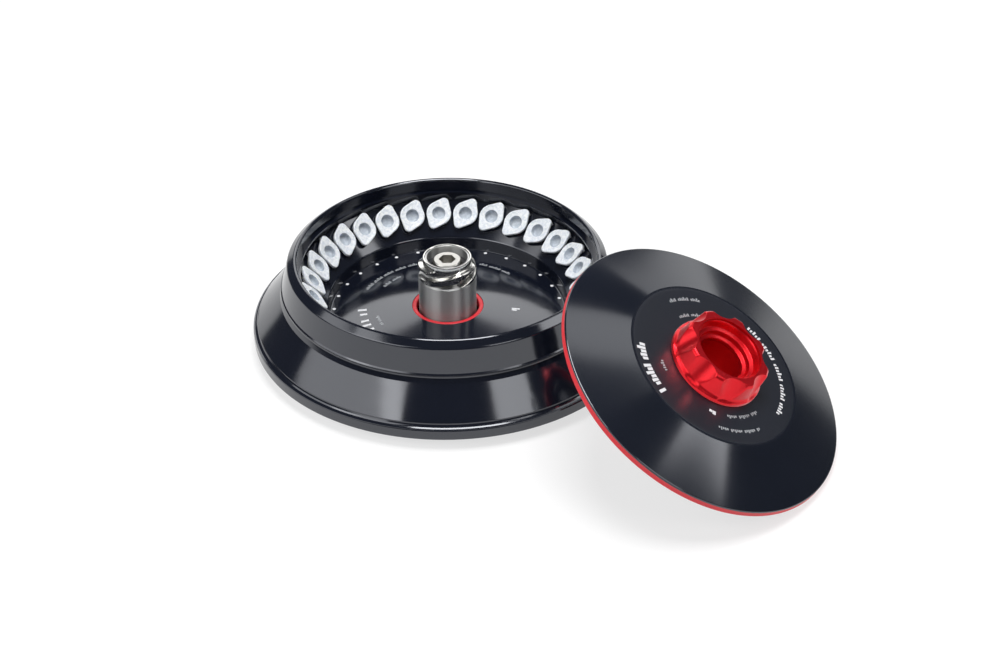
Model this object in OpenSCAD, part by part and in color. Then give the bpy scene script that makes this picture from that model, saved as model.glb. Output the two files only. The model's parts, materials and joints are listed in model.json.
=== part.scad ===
// Fixed-angle microtube rotor of a laboratory centrifuge, with thirty loaded tubes,
// and its screw-on lid lying beside it on the bench. The rotor axis is Z, and the
// origin is at the mouth of the motor shaft bore, in the plane that the rotor stands on.

/* [Rotor] */
// Outer radius of the rotor at its lowest band
rotor_r = 100; // [99:0.5:102]
// Height of the rim above the bench
rim_h = 48.3; // [48:0.1:50]
// Radius of the bowl's upper wall, inside the rim
bowl_r = 76; // [75.8:0.1:76.2]
// Radius of the bearing bore that takes the motor shaft
shaft_r = 6; // [5:0.5:7]
// Depth of the motor shaft bore
shaft_depth = 26; // [20:1:28]

/* [Tube places] */
// Number of tube places round the rotor
place_count = 30; // [10:5:30]
// Radius of each tube bore
place_r = 5.5; // [5.45:0.01:5.5]
// Turn of the first place about the rotor axis, degrees
first_place_deg = -0.9; // [-6:0.1:6]
// Number of places whose tubes lift out on their own
free_tube_count = 6; // [2:1:6]

/* [Tubes] */
// Length from the top of a closed cap to the tip of its tube
tube_len = 38.6; // [37:0.1:38.8]
// Radius of a tube's barrel
barrel_r = 5.42; // [5.3:0.01:5.44]
// Half of a cap's width
cap_half_w = 6.35; // [6:0.05:6.35]
// Half of a cap's length, from its centre to the end of its thumb tab
cap_half_l = 10; // [9:0.1:10]
// Turn of each cap about its tube, away from the rotor's radius, degrees
cap_skew_deg = 28; // [20:1:30]

/* [Hub] */
// Radius of the polished hub
hub_r = 14.7; // [14:0.1:14.75]
// Height of the hub's shoulder, where the lid thread starts
shoulder_h = 36.1; // [34:0.1:37]
// Height of the top of the lid thread
hub_h = 46.9; // [46:0.1:47.5]
// Number of starts of the lid thread
thread_starts = 3; // [2:1:4]

/* [Lid] */
// Radius of the lid's upper edge
lid_r = 74.8; // [74:0.1:74.8]
// Outer radius of the red edge seal
seal_r = 75; // [74.8:0.1:75.2]
// Depth of the seal's lower side under the lid's upper edge
seal_drop = 3.7; // [3:0.1:4.5]
// Height of the lid's flat middle above its upper edge
plateau_h = 9.3; // [9:0.1:10.5]
// Radius of the lid's flat middle
plateau_r = 44.5; // [40:0.5:50]
// Tilt of the lid as it lies on the bench, degrees
lid_tilt_deg = 31.6; // [31:0.1:32]
// Direction that the lying lid faces, degrees from +X
lid_turn_deg = -26.3; // [-30:0.1:-20]
// Distance of the lying lid's centre to the right of the rotor axis
lid_x = 122.6; // [122:0.1:130]
// Distance of the lying lid's centre in front of the rotor axis
lid_y = -99; // [-105:0.5:-99]

/* [Knob] */
// Radius of the knob's foot
knob_r = 24; // [22:0.5:26]
// Height of the knob
knob_h = 13.1; // [12:0.1:15]
// Number of finger scoops round the knob
scoop_count = 8; // [5:1:10]
// Radius of the hole through the knob
knob_hole_r = 11.6; // [11:0.1:12]

/* [Hidden] */

ROUND = 96;

BLACK = "#2b2d31";
RED = "#c8283a";
STEEL = "#b9bcc0";
DARK_STEEL = "#6f7378";
CLEAR_WHITE = "#e9ecef";
BRONZE = "#a5793f";

// Rotor outline
face_offset = 40.2;         // the 45 degree face is the cone r - z = face_offset
floor_r = 60.6;             // foot of the small wall round the bowl's floor
floor_wall_r = 61;          // top of that wall, where the 45 degree face starts
floor_edge_h = 14.2;
floor_hub_h = 17.7;
floor_round_r = 0.6;
face_round_r = 1.5;
rim_in_round_r = 1.2;
rim_out_round_r = 1.6;
rim_out_r = 81.9;
rim_bevel_h = 4;            // drop of the bevel outside the rim
rim_out_round_in = 2.15;    // distance of the outer round's centre inside the rim's edge
collar_low_r = 84.3;        // lower edge of the collar under the rim
collar_low_h = 33;
cove_r = 2;                 // the hollow curve between collar and skirt
cove_h = 31;
skirt_top_r = rotor_r - 14.5;
skirt_top_h = 28;
skirt_low_r = rotor_r - 2.6;
skirt_low_h = 13.3;
skirt_foot_r = 3;           // the hollow curve between skirt and band
skirt_foot_out = 0.2;       // its centre stands this far outside the band
skirt_foot_up = 0.6;
band_low_h = 5.6;
band_top_h = 10.3;
foot_out_r = rotor_r - 8.2;
foot_in_r = 85;
hollow_h = 10;              // depth of the hollow under the rotor
hollow_in_r = 40;
boss_edge_r = 36;           // outer edge of the boss that the hub is screwed to
seat_h = rim_h - 7;         // top of the ring that the lid's seal comes down on
seat_t = 1;
seat_in_r = 74.3;
seat_groove_d = 1.2;

// Gaps between parts
fixed_gap = 0.02;
close_gap = 0.05;
turn_gap = 0.08;
screw_gap = 0.1;

// Hub and its fastenings
well_r = 10.5;              // the well at the top of the hub that holds the nut
well_floor_h = 37;
core_r = hub_r - 2.4;       // core of the lid thread
thread_in_r = 11.4;
thread_lead = 22;           // travel of the lid for one turn
thread_phase_deg = 13;      // direction of the first ridge at the shoulder
thread_end_t = 1.4;         // plain ring over the thread
thread_top_step = 0.4;      // that ring stands above the hub's tube
hub_chamfer = 0.8;
clip_groove_d = 0.5;
ridge_top_deg = 42;         // width of a ridge at its top and at its foot, degrees
ridge_foot_deg = 64;
flange_r = 30;
flange_t = 4;
gap_r = 15.9;               // the groove round the hub that the lid's sleeve enters
gasket_r = 18.4;
gasket_t = 4.5;
gasket_edge_r = 0.6;
screw_count = 6;
screw_circle_r = 23.5;
screw_r = 2;
screw_head_r = 3.8;
screw_head_t = 2.2;
screw_len = 12;
screw_hex_r = 1.7;
screw_hex_t = 1.4;
nut_r = 7.2;
nut_flange_r = 9.6;
nut_stem_r = 3.1;
nut_flange_low = well_floor_h + 1.3;
nut_flange_top = nut_flange_low + 2;
nut_top_h = hub_h - 1.6;
hex_across = 7.7;
clip_h = nut_flange_top + 0.4;
clip_t = 1;

// Tube places and tubes
cap_top_r = 68;             // where the tube axis meets the top of a closed cap
cap_top_h = 32.2;
tube_lean_deg = 135;        // turns +Z into the direction of a tube's tip
flange_low_t = 2.7;         // depths below the top of the closed cap, along the tube
flange_top_t = 2.1;
cap_t = 1.75;
taper_t = 20;
tip_r = 1.75;
tip_t = 1.7;
tube_wall = 0.82;
tube_flange_r = 6.1;
plug_r = 4.1;
plug_deep_t = 4.2;
dimple_r = 3.3;
dimple_deep_t = 3.2;
hinge_x = 8.3;              // distance of a cap's hinge from the tube's axis
hinge_t = 1.9;
hinge_r = 0.45;
hinge_w = 4;
bore_gap = 0.3;
pitch_deg = 360 / place_count;
free_step = place_count / free_tube_count;
first_free = 2;

// Lid
lid_z = seal_r * sin(lid_tilt_deg) + seal_drop * cos(lid_tilt_deg);
edge_t = 0.8;
edge_round_r = 0.6;
seal_round_r = 0.8;
seal_in_r = 73;
rim_in_r = 70.5;
plate_t = 2.9;
sleeve_r = 17.5;
bush_r = 19.5;
boss_r = 23;
boss_low = 1.5;
sleeve_in_r = 14.95;
sleeve_tip_r = 15.75;
sleeve_drop = (lid_z - sleeve_tip_r * sin(lid_tilt_deg)) / cos(lid_tilt_deg);
sleeve_tip_len = 15;
knob_low = plateau_h + 0.2;
knob_top = knob_low + knob_h;
knob_phase_deg = 12;        // direction of the first ridge between two scoops
scoop_r = 9;
scoop_lean_deg = 22;
valley_top_r = 18;          // distance of a scoop's wall from the axis, at the knob's top
funnel_r = 16.2;            // mouth of the stepped funnel in the knob
funnel_steps = 2;
funnel_step_t = 3.4;
sleeve_top = knob_low + 3.2;
stop_low = 2.1;             // inner shoulder that comes to rest over the hub's top
circlip_low = -1.65;
circlip_t = 1;
pin_count = 3;
pin_r = 1;
pin_h = -4.2;
dowel_r = 0.9;
dowel_len = 4.6;
dowel_h = knob_low + 1.5;

// Places the children on the tube axis of one place, with +Z towards the tip
module at_place(index) {
    rotate([0, 0, first_place_deg + index * pitch_deg])
        translate([cap_top_r, 0, cap_top_h])
            rotate([0, tube_lean_deg, 0])
                children();
}

// Places the children in the lid's own frame, with z = 0 in the plane of its upper edge
module at_lid() {
    translate([lid_x, lid_y, lid_z])
        rotate([0, lid_tilt_deg, lid_turn_deg])
            children();
}

module ring(outer_r, inner_r, low, high) {
    translate([0, 0, low])
        difference() {
            cylinder(r = outer_r, h = high - low, $fn = ROUND);
            translate([0, 0, -1])
                cylinder(r = inner_r, h = high - low + 2, $fn = ROUND);
        }
}

// Points of an arc, counterclockwise from one angle to another
function arc(x, z, r, from, to, steps = 8) =
    [for (i = [0:steps]) let (a = from + (to - from) * i / steps) [x + r * cos(a), z + r * sin(a)]];

function rotor_outline() = concat(
    [[gap_r, flange_t], [gap_r, floor_hub_h - gasket_t]],
    [[gasket_r, floor_hub_h - gasket_t], [gasket_r, floor_hub_h]],
    [[floor_r - floor_round_r, floor_edge_h]],
    arc(floor_r - floor_round_r, floor_edge_h + floor_round_r, floor_round_r, -60, 0, 3),
    arc(floor_wall_r + face_round_r, floor_wall_r + face_round_r - face_offset - sqrt(2) * face_round_r,
        face_round_r, 180, 135, 3),
    [[bowl_r, bowl_r - face_offset]],
    [[bowl_r, seat_h - seat_t], [bowl_r + seat_groove_d, seat_h - seat_t]],
    [[bowl_r + seat_groove_d, seat_h], [bowl_r, seat_h]],
    arc(bowl_r + rim_in_round_r, rim_h - rim_in_round_r, rim_in_round_r, 180, 48, 6),
    arc(rim_out_r - rim_out_round_in, rim_h - rim_bevel_h, rim_out_round_r, 48, 14, 4),
    [[collar_low_r, collar_low_h]],
    arc(collar_low_r + cove_r, cove_h, cove_r, 135, 215, 4),
    [[skirt_top_r, skirt_top_h], [skirt_low_r, skirt_low_h]],
    arc(rotor_r + skirt_foot_out, band_top_h + skirt_foot_r + skirt_foot_up, skirt_foot_r, 205, 262, 4),
    [[rotor_r, band_top_h], [rotor_r, band_low_h]],
    [[foot_out_r, 0], [foot_in_r, 0]],
    [[foot_in_r - hollow_h, hollow_h], [hollow_in_r, hollow_h]],
    [[boss_edge_r, hollow_h - (hollow_in_r - boss_edge_r)], [boss_edge_r, 0]],
    [[flange_r + close_gap, 0], [flange_r + close_gap, flange_t]]);

// Space that is cut for one tube: a straight bore, a taper and a blunt tip
module place_bore() {
    end_t = tube_len + bore_gap;
    rotate_extrude($fn = ROUND)
        polygon([[0, -4], [place_r, -4], [place_r, taper_t + 0.5],
                 [tip_r + bore_gap, end_t - tip_t], [tip_r - 0.5, end_t - 0.5], [0, end_t]]);
}

module rotor_body() {
    color(BLACK)
        difference() {
            rotate_extrude($fn = ROUND)
                polygon(rotor_outline());
            for (i = [0:place_count - 1])
                at_place(i) place_bore();
            for (i = [0:screw_count - 1])
                rotate([0, 0, i * 360 / screw_count])
                    translate([screw_circle_r, 0, flange_t - 1])
                        cylinder(r = screw_r + fixed_gap, h = screw_len - flange_t + 1.5, $fn = ROUND);
        }
}

module hub() {
    color(STEEL)
        difference() {
            rotate_extrude($fn = ROUND)
                polygon([[shaft_r, 0], [flange_r, 0], [flange_r, flange_t], [hub_r, flange_t],
                         [hub_r, shoulder_h - hub_chamfer], [hub_r - hub_chamfer, shoulder_h],
                         [thread_in_r - 0.1, shoulder_h], [thread_in_r - 0.1, hub_h - thread_top_step],
                         [well_r, hub_h - thread_top_step], [well_r, clip_h + clip_t],
                         [well_r + clip_groove_d, clip_h + clip_t], [well_r + clip_groove_d, clip_h],
                         [well_r, clip_h],
                         [well_r, well_floor_h], [nut_stem_r + turn_gap, well_floor_h],
                         [nut_stem_r + turn_gap, shaft_depth], [shaft_r, shaft_depth]]);
            for (i = [0:screw_count - 1])
                rotate([0, 0, i * 360 / screw_count])
                    translate([screw_circle_r, 0, 0]) {
                        translate([0, 0, -1])
                            cylinder(r = screw_r + screw_gap, h = flange_t + 2, $fn = ROUND);
                        translate([0, 0, -1])
                            cylinder(r = screw_head_r + screw_gap, h = screw_head_t + 1.2, $fn = ROUND);
                    }
        }
}

// Cross-section of the thread's core with its ridges
module thread_section() {
    circle(r = core_r, $fn = ROUND);
    for (i = [0:thread_starts - 1])
        rotate(thread_phase_deg + i * 360 / thread_starts)
            polygon(concat(
                arc(0, 0, core_r - 0.1, ridge_foot_deg / 2, -ridge_foot_deg / 2),
                arc(0, 0, hub_r, -ridge_top_deg / 2, ridge_top_deg / 2)));
}

// Steep right-handed thread with several starts, under a plain top ring
module lid_thread() {
    thread_top = hub_h - thread_end_t;
    thread_h = thread_top - shoulder_h;
    color(STEEL)
        difference() {
            union() {
                translate([0, 0, shoulder_h])
                    linear_extrude(height = thread_h, twist = -360 * thread_h / thread_lead, slices = 14)
                        thread_section();
                translate([0, 0, thread_top])
                    cylinder(r = core_r, h = thread_end_t, $fn = ROUND);
            }
            translate([0, 0, shoulder_h - 1])
                cylinder(r = thread_in_r, h = hub_h, $fn = ROUND);
        }
}

module hub_seal_ring() {
    in_r = gap_r + 0.1;
    out_r = gasket_r - close_gap;
    color(RED)
        rotate_extrude($fn = ROUND)
            polygon(concat(
                [[in_r, floor_hub_h - gasket_t], [out_r, floor_hub_h - gasket_t]],
                arc(out_r - gasket_edge_r, floor_hub_h - gasket_edge_r, gasket_edge_r, 0, 90, 4),
                arc(in_r + gasket_edge_r, floor_hub_h - gasket_edge_r, gasket_edge_r, 90, 180, 4)));
}

module lid_seat_ring() {
    color(BLACK)
        ring(bowl_r + seat_groove_d - close_gap, seat_in_r, seat_h - seat_t + fixed_gap, seat_h - fixed_gap);
}

module hub_screws() {
    color(DARK_STEEL)
        for (i = [0:screw_count - 1])
            rotate([0, 0, i * 360 / screw_count])
                translate([screw_circle_r, 0, 0])
                    difference() {
                        union() {
                            translate([0, 0, 0.1])
                                cylinder(r = screw_head_r, h = screw_head_t, $fn = ROUND);
                            translate([0, 0, screw_head_t])
                                cylinder(r = screw_r - fixed_gap, h = screw_len - screw_head_t, $fn = ROUND);
                        }
                        translate([0, 0, -1])
                            cylinder(r = screw_hex_r, h = screw_hex_t + 1, $fn = 6);
                    }
}

module rotor_nut() {
    color(STEEL)
        difference() {
            rotate_extrude($fn = ROUND)
                polygon([[0, shaft_depth + 1], [nut_stem_r, shaft_depth + 1], [nut_stem_r, nut_flange_low],
                         [nut_flange_r, nut_flange_low], [nut_flange_r, nut_flange_top],
                         [nut_r, nut_flange_top], [nut_r, nut_top_h - 0.6], [nut_r - 0.6, nut_top_h],
                         [0, nut_top_h]]);
            translate([0, 0, nut_top_h - 6])
                cylinder(d = hex_across / cos(30), h = 7, $fn = 6);
        }
}

module nut_spring_washer() {
    color(DARK_STEEL)
        ring(nut_flange_r - 1, nut_stem_r + 1.2, well_floor_h + 0.1, nut_flange_low - 0.3);
}

module nut_retaining_ring() {
    color(DARK_STEEL)
        difference() {
            ring(well_r + clip_groove_d - 0.1, nut_r + 1, clip_h + close_gap, clip_h + clip_t - close_gap);
            translate([0, -2, clip_h - 1])
                cube([well_r + 2, 4, clip_t + 2]);
        }
}

// Eye-shaped outline of a cap: two equal arcs that meet at the ends of its length
module cap_outline() {
    arc_r = (cap_half_l * cap_half_l + cap_half_w * cap_half_w) / (2 * cap_half_w);
    intersection() {
        translate([0, arc_r - cap_half_w])
            circle(r = arc_r, $fn = ROUND);
        translate([0, cap_half_w - arc_r])
            circle(r = arc_r, $fn = ROUND);
        translate([-cap_half_l + 0.6, -cap_half_w])
            square([cap_half_l - 0.6 + hinge_x - hinge_r - 0.15, 2 * cap_half_w]);
    }
}

// One closed cap in its tube's own frame: the plate, its plug and the dimple in the middle
module cap_solid() {
    rotate([0, 0, 180 + cap_skew_deg])
        difference() {
            union() {
                linear_extrude(height = cap_t)
                    cap_outline();
                translate([0, 0, cap_t - 0.1])
                    cylinder(r = plug_r, h = plug_deep_t - cap_t + 0.1, $fn = ROUND);
            }
            translate([0, 0, -1])
                cylinder(r = dimple_r, h = dimple_deep_t + 1, $fn = ROUND);
        }
}

// One open tube in its own frame: barrel, tip, rim and the lug that carries the cap's hinge
module tube_solid() {
    inner_r = barrel_r - tube_wall;
    rotate([0, 0, 180 + cap_skew_deg])
        difference() {
            union() {
                rotate_extrude($fn = ROUND)
                    polygon([[0, flange_top_t], [barrel_r, flange_top_t], [barrel_r, taper_t],
                             [tip_r, tube_len - tip_t], [tip_r - 0.75, tube_len - 0.5], [0, tube_len]]);
                translate([0, 0, flange_top_t])
                    linear_extrude(height = flange_low_t - flange_top_t)
                        union() {
                            circle(r = tube_flange_r, $fn = ROUND);
                            translate([0, -hinge_w / 2])
                                square([hinge_x + hinge_r, hinge_w]);
                        }
                translate([hinge_x, hinge_w / 2, hinge_t])
                    rotate([90, 0, 0])
                        cylinder(r = hinge_r, h = hinge_w, $fn = ROUND);
            }
            rotate_extrude($fn = ROUND)
                polygon([[0, flange_top_t - 1], [inner_r, flange_top_t - 1], [inner_r, taper_t - 0.4],
                         [tip_r - tube_wall, tube_len - tip_t - 0.4], [0, tube_len - tip_t]]);
        }
}

// True for a place whose tube is a part of its own
function is_free(index) = (index - first_free) % free_step == 0;

module tube(number) {
    color(CLEAR_WHITE)
        at_place(first_free + (number - 1) * free_step) tube_solid();
}

module tube_cap(number) {
    color(CLEAR_WHITE)
        at_place(first_free + (number - 1) * free_step) cap_solid();
}

// The other tubes with their closed caps, a quarter of the rotor in each set
module tubes_set(quarter) {
    per_set = place_count / 4;
    color(CLEAR_WHITE)
        for (i = [ceil(quarter * per_set):ceil((quarter + 1) * per_set) - 1])
            if (!is_free(i)) {
                at_place(i) tube_solid();
                at_place(i) cap_solid();
            }
}

// The lid's cone falls from the plateau to the upper edge; the middle is bored for the bush
module lid_plate() {
    color(BLACK)
        at_lid()
            rotate_extrude($fn = ROUND)
                polygon(concat(
                    [[bush_r, boss_low], [boss_r, boss_low], [boss_r, plateau_h - plate_t]],
                    [[plateau_r - 0.5, plateau_h - plate_t], [rim_in_r, -edge_t - 0.8]],
                    [[rim_in_r, -seal_drop + 0.3], [seal_in_r, -seal_drop + 0.3]],
                    [[seal_in_r, -edge_t], [lid_r, -edge_t]],
                    arc(lid_r - edge_round_r, edge_round_r - 1, edge_round_r, 0, 70, 3),
                    [[plateau_r + 0.8, plateau_h - 0.15], [plateau_r - 1.4, plateau_h]],
                    [[bush_r, plateau_h]]));
}

module lid_edge_seal() {
    color(RED)
        at_lid()
            rotate_extrude($fn = ROUND)
                polygon(concat(
                    [[seal_in_r + fixed_gap, -edge_t - fixed_gap], [seal_in_r + fixed_gap, -seal_drop]],
                    arc(seal_r - seal_round_r, -seal_drop + seal_round_r, seal_round_r, -90, 0, 4),
                    [[seal_r - 0.3, -edge_t - fixed_gap]]));
}

module lid_bush() {
    color(BRONZE)
        at_lid()
            ring(bush_r - fixed_gap, sleeve_r + 0.06, boss_low, plateau_h - 0.1);
}

module lid_bush_gasket() {
    color(RED)
        at_lid()
            ring(bush_r + 1.5, sleeve_r + 0.35, boss_low - 0.85, boss_low - 0.05);
}

// Points down the stepped funnel, from its mouth to the hole
function funnel() = concat(
    [for (i = [0:funnel_steps - 1], low = [0, 1])
        let (r = funnel_r - i * (funnel_r - knob_hole_r) / funnel_steps)
            [r - 0.4 * low, knob_top - i * funnel_step_t - low * (funnel_step_t - 0.5)]],
    [[knob_hole_r, knob_top - funnel_steps * funnel_step_t]]);

// Scoop axes lean outwards going down, so each scoop runs out at the foot
module knob() {
    color(RED)
        at_lid()
            difference() {
                rotate_extrude($fn = ROUND)
                    polygon(concat(
                        [[sleeve_r + fixed_gap, knob_low], [knob_r, knob_low], [knob_r, knob_low + 1.8]],
                        [[knob_r - 0.5, knob_low + 2.3], [knob_r - 2, knob_top - 1], [knob_r - 3, knob_top]],
                        funnel(),
                        [[knob_hole_r, sleeve_top + fixed_gap], [sleeve_r + fixed_gap, sleeve_top + fixed_gap]]));
                for (i = [0:scoop_count - 1])
                    rotate([0, 0, knob_phase_deg + (i + 0.5) * 360 / scoop_count])
                        translate([valley_top_r + scoop_r, 0, knob_top])
                            rotate([0, 180 - scoop_lean_deg, 0])
                                translate([0, 0, -8])
                                    cylinder(r = scoop_r, h = knob_h + 5, $fn = ROUND);
                dowel_holes();
            }
}

// Two blind holes across the joint of knob and sleeve
module dowel_holes() {
    for (side = [0, 180])
        rotate([0, 0, knob_phase_deg + side])
            translate([sleeve_r - dowel_len / 2 + 0.5, 0, dowel_h])
                rotate([0, 90, 0])
                    cylinder(r = dowel_r + close_gap, h = dowel_len + 0.2, $fn = ROUND);
}

// Threaded sleeve: a journal in the lid's bush, and a thin tip that seals round the hub
module lock_sleeve() {
    tip_top = -sleeve_drop + sleeve_tip_len;
    color(RED)
        at_lid()
            difference() {
                rotate_extrude($fn = ROUND)
                    polygon([[sleeve_in_r, -sleeve_drop], [sleeve_tip_r, -sleeve_drop],
                             [sleeve_tip_r, tip_top], [sleeve_r, tip_top + 2.5],
                             [sleeve_r, circlip_low - close_gap], [sleeve_r - 0.8, circlip_low - close_gap],
                             [sleeve_r - 0.8, circlip_low + circlip_t + close_gap],
                             [sleeve_r, circlip_low + circlip_t + close_gap],
                             [sleeve_r, sleeve_top], [knob_hole_r, sleeve_top],
                             [knob_hole_r, stop_low], [sleeve_in_r, stop_low]]);
                dowel_holes();
                for (i = [0:pin_count - 1])
                    rotate([0, 0, i * 360 / pin_count])
                        translate([0, 0, pin_h])
                            rotate([0, 90, 0])
                                cylinder(r = pin_r + fixed_gap, h = sleeve_r - 0.5, $fn = ROUND);
            }
}

// Pins inside the sleeve that run in the starts of the hub's thread
module lock_pins() {
    color(DARK_STEEL)
        at_lid()
            for (i = [0:pin_count - 1])
                rotate([0, 0, i * 360 / pin_count])
                    translate([core_r + 0.5, 0, pin_h])
                        rotate([0, 90, 0])
                            cylinder(r = pin_r, h = sleeve_r - core_r - 1.1, $fn = ROUND);
}

module knob_dowels() {
    color(DARK_STEEL)
        at_lid()
            for (side = [0, 180])
                rotate([0, 0, knob_phase_deg + side])
                    translate([sleeve_r - dowel_len / 2 + 0.6, 0, dowel_h])
                        rotate([0, 90, 0])
                            cylinder(r = dowel_r, h = dowel_len, $fn = ROUND);
}

module sleeve_wave_washer() {
    color(DARK_STEEL)
        at_lid()
            ring(bush_r + 0.8, sleeve_r + 0.15, circlip_low + circlip_t + 0.3, boss_low - 0.95);
}

module sleeve_circlip() {
    color(DARK_STEEL)
        at_lid()
            difference() {
                ring(sleeve_r + 1.6, sleeve_r - 0.75, circlip_low, circlip_low + circlip_t);
                translate([0, -2.5, circlip_low - 2])
                    cube([sleeve_r + 4, 5, 4]);
            }
}

rotor_body();
hub();
lid_thread();
hub_seal_ring();
lid_seat_ring();
hub_screws();
rotor_nut();
nut_spring_washer();
nut_retaining_ring();
tubes_set(0);  // tubes_set_a
tubes_set(1);  // tubes_set_b
tubes_set(2);  // tubes_set_c
tubes_set(3);  // tubes_set_d
for (i = [1:free_tube_count])
    tube(i);
for (i = [1:free_tube_count])
    tube_cap(i);
lid_plate();
lid_edge_seal();
lid_bush();
lid_bush_gasket();
knob();
lock_sleeve();
lock_pins();
knob_dowels();
sleeve_wave_washer();
sleeve_circlip();
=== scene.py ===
"""The visual model of a fixed-angle microtube rotor and its screw-on lid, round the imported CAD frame."""

import json
import math

import bpy
from mathutils import Matrix, Vector


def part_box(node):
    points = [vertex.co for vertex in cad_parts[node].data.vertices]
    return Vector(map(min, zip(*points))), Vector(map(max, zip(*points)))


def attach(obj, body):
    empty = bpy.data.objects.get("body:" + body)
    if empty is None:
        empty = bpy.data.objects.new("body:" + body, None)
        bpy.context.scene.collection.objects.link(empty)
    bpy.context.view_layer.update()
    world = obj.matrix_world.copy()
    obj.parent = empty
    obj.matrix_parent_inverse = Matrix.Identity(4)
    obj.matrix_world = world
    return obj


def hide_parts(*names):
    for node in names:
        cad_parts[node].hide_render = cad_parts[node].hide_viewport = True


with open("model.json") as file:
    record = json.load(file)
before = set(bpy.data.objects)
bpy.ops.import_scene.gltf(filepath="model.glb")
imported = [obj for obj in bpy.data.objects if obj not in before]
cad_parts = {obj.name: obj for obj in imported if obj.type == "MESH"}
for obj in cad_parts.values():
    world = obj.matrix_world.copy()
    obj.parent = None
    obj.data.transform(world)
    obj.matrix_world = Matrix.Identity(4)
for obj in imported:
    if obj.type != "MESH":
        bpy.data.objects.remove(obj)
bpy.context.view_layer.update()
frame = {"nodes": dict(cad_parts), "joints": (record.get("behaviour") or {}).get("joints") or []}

MM = 0.001
TAU = 2 * math.pi
SMOOTH_DEG = 38             # edges sharper than this stay sharp
CAD_SMOOTH_DEG = 30

# ---------------------------------------------------------------- camera

CAMERA_PLACE = Vector((0.0268, -0.9172, 0.6166))
CAMERA_PITCH_DEG = 56.09
LENS_MM = 76.66
SENSOR_MM = 36
CLIP_END_M = 60


def add_camera():
    data = bpy.data.cameras.new("camera")
    data.lens = LENS_MM
    data.sensor_width = SENSOR_MM
    data.clip_end = CLIP_END_M
    camera = bpy.data.objects.new("camera", data)
    camera.location = CAMERA_PLACE
    camera.rotation_euler = (math.radians(CAMERA_PITCH_DEG), 0, 0)
    bpy.context.scene.collection.objects.link(camera)
    bpy.context.scene.camera = camera
    bpy.context.scene.view_settings.view_transform = "Standard"


# ---------------------------------------------------------------- places taken from the frame

def joint(name):
    return next(j for j in frame["joints"] if j["name"] == name)


def span(node):
    """Lowest and highest corner of a CAD node, in millimetres."""
    low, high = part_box(node)
    return low / MM, high / MM


def lid_matrix():
    """The lid's own frame: z along its axis, origin in the plane of its upper edge."""
    knob = joint("knob_turn")
    axis = Vector(knob["axis"])
    turn = math.atan2(axis.y, axis.x)
    tilt = math.acos(axis.z)
    return (Matrix.Translation(Vector(knob["pos_m"]))
            @ Matrix.Rotation(turn, 4, "Z") @ Matrix.Rotation(tilt, 4, "Y"))


PLACES = 30
PITCH_DEG = 360 / PLACES
FREE_STEP = 5               # every fifth tube is a body of its own
FIRST_FREE = 2              # place of the first of them
CAP_TOP_R = 68.0            # the middle of a cap's top, from the rotor's axis
CAP_TOP_H = 32.2            # and above the bench
BORE_TURN_DEG = 135         # from straight up to the way a tube points, down and outward
CAP_SKEW_DEG = 28           # turn of a cap's hinge out of the plane through the rotor's axis


def first_place_deg():
    """Turn of place 0, from the axis of the first free tube's slide."""
    axis = Vector(joint("tube_1_lift")["axis"])
    return math.degrees(math.atan2(-axis.y, -axis.x)) - FIRST_FREE * PITCH_DEG


FIRST_PLACE_DEG = first_place_deg()


def place_matrix(index):
    """A tube's own frame: z from the top of its cap to its tip, x to the cap's hinge."""
    turn = math.radians(FIRST_PLACE_DEG + index * PITCH_DEG)
    return (Matrix.Rotation(turn, 4, "Z")
            @ Matrix.Translation(Vector((CAP_TOP_R, 0, CAP_TOP_H)) * MM)
            @ Matrix.Rotation(math.radians(BORE_TURN_DEG), 4, "Y")
            @ Matrix.Rotation(math.radians(180 + CAP_SKEW_DEG), 4, "Z"))


# ---------------------------------------------------------------- mesh helpers

def finish_mesh(name, verts, faces, matrix=None, sharp_deg=SMOOTH_DEG):
    """An object from points in millimetres, placed by matrix, shaded smooth but for sharp edges."""
    mesh = bpy.data.meshes.new(name)
    mesh.from_pydata([tuple(Vector(v) * MM) for v in verts], [], faces)
    if matrix is not None:
        mesh.transform(matrix)
    mesh.validate()
    mesh.update()
    mesh.shade_smooth()
    mesh.set_sharp_from_angle(angle=math.radians(sharp_deg))
    obj = bpy.data.objects.new(name, mesh)
    bpy.context.scene.collection.objects.link(obj)
    return obj


def loft(rows, close_rows=False, cap_first=False, cap_last=False):
    """(verts, faces) of a skin over rows of equal length, each row a closed ring of points."""
    count = len(rows[0])
    verts = [p for row in rows for p in row]
    faces = []
    last = len(rows) if close_rows else len(rows) - 1
    for i in range(last):
        a = i * count
        b = ((i + 1) % len(rows)) * count
        for k in range(count):
            n = (k + 1) % count
            faces.append((a + k, a + n, b + n, b + k))
    if cap_first:
        faces.append(tuple(reversed(range(count))))
    if cap_last:
        start = (len(rows) - 1) * count
        faces.append(tuple(start + k for k in range(count)))
    return verts, faces


STRAIGHT_DEG = 176          # a corner flatter than this isn't rounded
LONGEST_CUT = 0.48          # share of a side that one rounded corner may take


def rounded(outline, radii, steps):
    """The outline with each corner rounded to its own radius, as a curve of this many steps."""
    result = []
    count = len(outline)
    for i, (point, radius) in enumerate(zip(outline, radii)):
        p = Vector(point)
        before = Vector(outline[i - 1]) - p
        after = Vector(outline[(i + 1) % count]) - p
        angle = before.angle(after)
        if radius <= 0 or angle > math.radians(STRAIGHT_DEG):
            result.append(tuple(p))
            continue
        reach = min(radius / math.tan(angle / 2), before.length * LONGEST_CUT, after.length * LONGEST_CUT)
        start = p + before.normalized() * reach
        end = p + after.normalized() * reach
        for k in range(steps + 1):
            t = k / steps
            result.append(tuple((1 - t) ** 2 * start + 2 * t * (1 - t) * p + t * t * end))
    return result


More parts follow.
